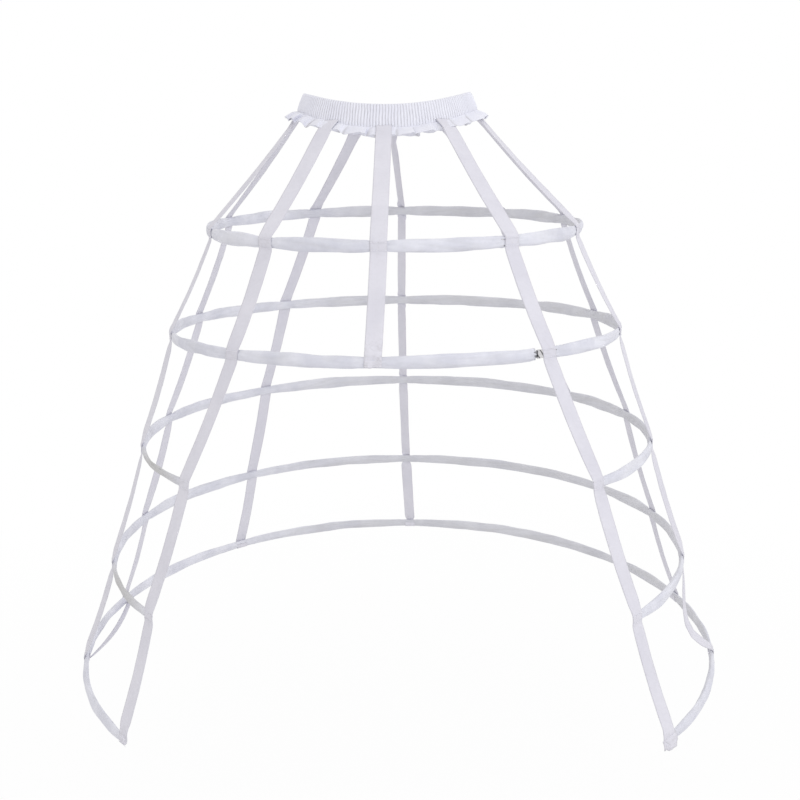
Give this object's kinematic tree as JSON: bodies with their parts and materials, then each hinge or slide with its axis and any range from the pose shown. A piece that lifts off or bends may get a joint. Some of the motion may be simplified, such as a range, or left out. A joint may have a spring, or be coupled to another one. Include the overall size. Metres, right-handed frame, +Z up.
{
  "type": "crinoline cage",
  "caption": "Bell-shaped skirt support: sprung hoops in cloth sleeves hang on tapes from a gathered elastic waistband, open at the lower front.",
  "frame": {"origin": "centre of the waist, half-way up the waistband at its sides", "axes": "+Z up, towards the wearer's head; -Y is the front, where the three lower hoops are open; +X is the viewer's right when seen from the front"},
  "size_m": [0.9076, 0.7776, 0.7747],
  "materials": {
    "elastic": "woven elastic, matt white",
    "waistband_cloth": "fine plain-weave cotton, matt, off white with a cool lilac cast",
    "sleeve_cloth": "soft plain-weave cotton, matt, off white with a cool lilac cast",
    "tape_cloth": "flat woven tape, matt, off white with a cool lilac cast",
    "boning_steel": "spring steel, dull grey",
    "ferrule_steel": "plated steel, dull",
    "cap_plastic": "dipped white plastic"
  },
  "bodies": {
    "root": {"waist_elastic": "elastic", "waistband_casing": "waistband_cloth", "hoop_1_bone": "boning_steel", "hoop_2_bone": "boning_steel", "hoop_3_bone": "boning_steel", "hoop_4_bone": "boning_steel", "hoop_5_bone": "boning_steel", "hoop_1_ferrule": "ferrule_steel", "hoop_2_ferrule": "ferrule_steel", "hoop_3_left_cap": "cap_plastic", "hoop_3_right_cap": "cap_plastic", "hoop_4_left_cap": "cap_plastic", "hoop_4_right_cap": "cap_plastic", "hoop_5_left_cap": "cap_plastic", "hoop_5_right_cap": "cap_plastic", "hoop_1_sleeve": "sleeve_cloth", "hoop_2_sleeve": "sleeve_cloth", "hoop_3_sleeve": "sleeve_cloth", "hoop_4_sleeve": "sleeve_cloth", "hoop_5_sleeve": "sleeve_cloth", "front_centre_tape": "tape_cloth", "front_left_tape": "tape_cloth", "front_right_tape": "tape_cloth", "side_left_tape": "tape_cloth", "side_right_tape": "tape_cloth", "rear_side_left_tape": "tape_cloth", "rear_side_right_tape": "tape_cloth", "back_left_tape": "tape_cloth", "back_right_tape": "tape_cloth", "back_centre_tape": "tape_cloth", "left_side_tie": "tape_cloth"}
  },
  "joints": []
}
